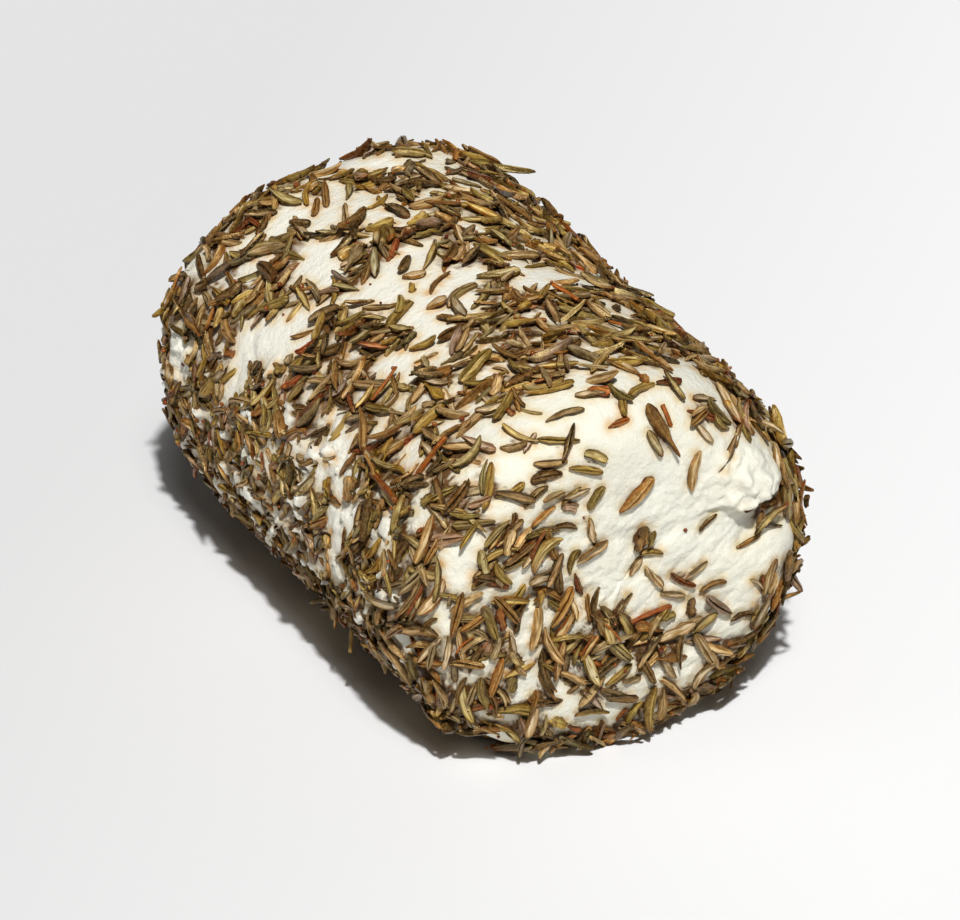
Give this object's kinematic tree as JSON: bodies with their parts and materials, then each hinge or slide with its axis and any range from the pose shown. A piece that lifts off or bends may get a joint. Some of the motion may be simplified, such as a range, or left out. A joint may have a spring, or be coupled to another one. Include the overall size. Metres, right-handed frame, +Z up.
{
  "type": "goat cheese log",
  "caption": "Short soft white cheese log lying on its side, rolled in dried thyme leaves, with rounded shoulders and a rough bare end.",
  "frame": {"origin": "on the surface that the log lies on, under the middle of the cheese", "axes": "+X along the log towards its bare end, +Y across it, +Z up"},
  "size_m": [0.077, 0.054, 0.0477],
  "materials": {
    "cheese": "soft moist white cheese",
    "herb": "dried olive-brown leaf"
  },
  "bodies": {
    "root": {"goat_cheese_log": "cheese"}
  },
  "joints": []
}
